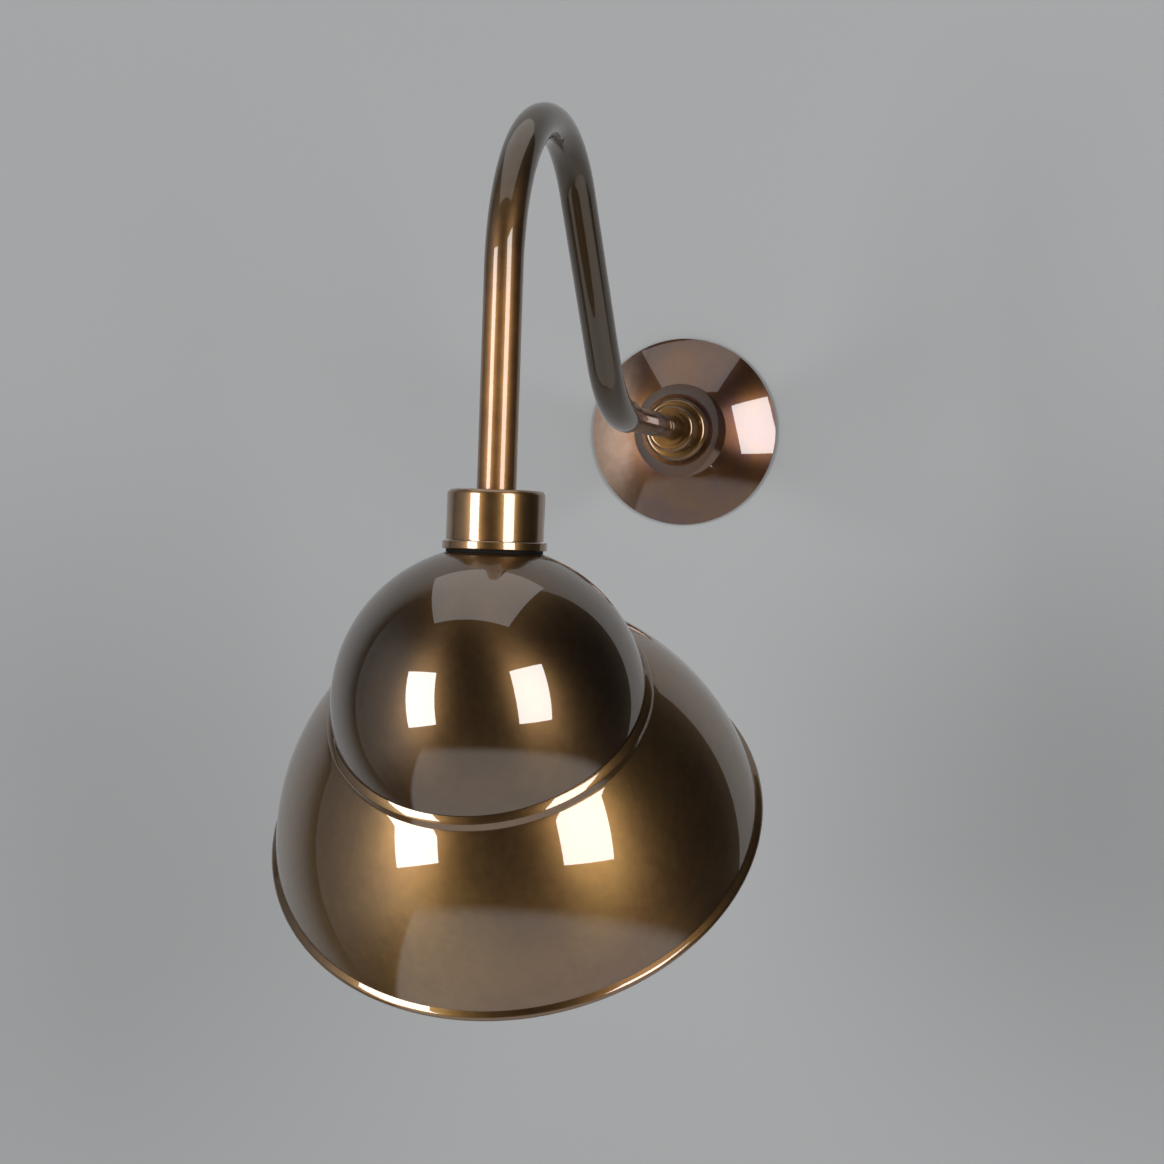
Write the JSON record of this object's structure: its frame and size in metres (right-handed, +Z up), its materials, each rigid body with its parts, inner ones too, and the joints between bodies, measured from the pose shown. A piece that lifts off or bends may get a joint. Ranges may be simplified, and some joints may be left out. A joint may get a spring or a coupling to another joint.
{
  "type": "gooseneck wall sconce",
  "caption": "Antiqued brass gooseneck wall sconce: round wall plate, bent tube arm and a tilted dome-and-bowl metal shade round a bare screw-in bulb",
  "frame": {"origin": "where the stem's axis meets the wall, midway between the two wall screw holes of the bracket, on the bracket's back", "axes": "x to the right along the wall as the viewer faces it, y into the wall, z up; the light stands out from the wall along -y"},
  "size_m": [0.2086, 0.4506, 0.3768],
  "materials": {
    "antique_brass": "lacquered antiqued brass tube, softly polished",
    "antique_bronze": "bronzed brass, reddish, softly polished",
    "dark_bronze": "dark olive bronzed brass, fine spinning lines",
    "warm_bronze": "warm bronzed brass, fine spinning lines",
    "satin_brass": "satin brushed brass",
    "polished_brass": "turned brass, lacquered",
    "zinc_steel": "bright zinc plate",
    "nickel_shell": "nickel plate",
    "solder": "dull tinned",
    "black_rubber": "smooth black rubber",
    "grey_fibre": "matt vulcanised fibre",
    "black_holder": "black thermoplastic, fine matt",
    "white_ceramic": "glazed white ceramic",
    "white_nylon": "natural nylon",
    "brown_insulation": "brown insulation",
    "blue_insulation": "blue insulation",
    "frosted_glass": "frosted white glass"
  },
  "bodies": {
    "arm": {"wall_bracket": "zinc_steel", "arm_stem": "polished_brass", "lock_nuts": "zinc_steel", "lock_washer": "zinc_steel", "earth_screw": "polished_brass", "earth_washer": "polished_brass", "terminal_block": "white_nylon", "terminal_screws": "zinc_steel", "arm_tube": "antique_brass", "live_wire": "brown_insulation", "neutral_wire": "blue_insulation", "tube_plug": "polished_brass", "nipple": "zinc_steel", "holder_cup": "satin_brass", "cup_flange": "satin_brass", "shade_gasket": "black_rubber", "holder_cap": "black_holder", "holder_body": "black_holder", "ceramic_insert": "white_ceramic", "screw_shell": "nickel_shell", "centre_contact": "polished_brass", "contact_screws": "zinc_steel"},
    "plate": {"wall_plate": "antique_bronze", "plate_seat_ring": "polished_brass", "locking_collar": "polished_brass", "collar_screw": "zinc_steel"},
    "shade": {"dome": "dark_bronze", "bowl": "warm_bronze"},
    "ring_washer": {"shade_washer": "grey_fibre"},
    "shade_ring": {"shade_ring": "black_holder"},
    "bulb_tip": {"bulb_contact": "solder"},
    "bulb": {"bulb_cap": "nickel_shell", "bulb_glass": "frosted_glass"}
  },
  "joints": [
    {"name": "plate_slide", "type": "slide", "parent": "arm", "child": "plate", "axis": [0, -1, 0], "range_m": [0, 0.1]},
    {"name": "shade_swivel", "type": "hinge", "parent": "arm", "child": "shade", "pos_m": [0, -0.3866, -0.0685], "axis": [0, 0, 1], "continuous": true},
    {"name": "ring_travel", "type": "slide", "parent": "arm", "child": "ring_washer", "axis": [0, 0, -1], "range_m": [0, 0.012]},
    {"name": "ring_turn", "type": "hinge", "parent": "ring_washer", "child": "shade_ring", "pos_m": [0, -0.3866, -0.0733], "axis": [0, 0, -1], "range_deg": [0, 2160]},
    {"name": "bulb_travel", "type": "slide", "parent": "arm", "child": "bulb_tip", "axis": [0, 0, -1], "range_m": [0, 0.0254]},
    {"name": "bulb_turn", "type": "hinge", "parent": "bulb_tip", "child": "bulb", "pos_m": [0, -0.3866, -0.09], "axis": [0, 0, -1], "range_deg": [0, 2520]}
  ],
  "couplings": [
    {"joint": "ring_turn", "follows": "ring_travel", "rad_per_m": 3141.6},
    {"joint": "bulb_turn", "follows": "bulb_travel", "rad_per_m": 1731.4}
  ]
}
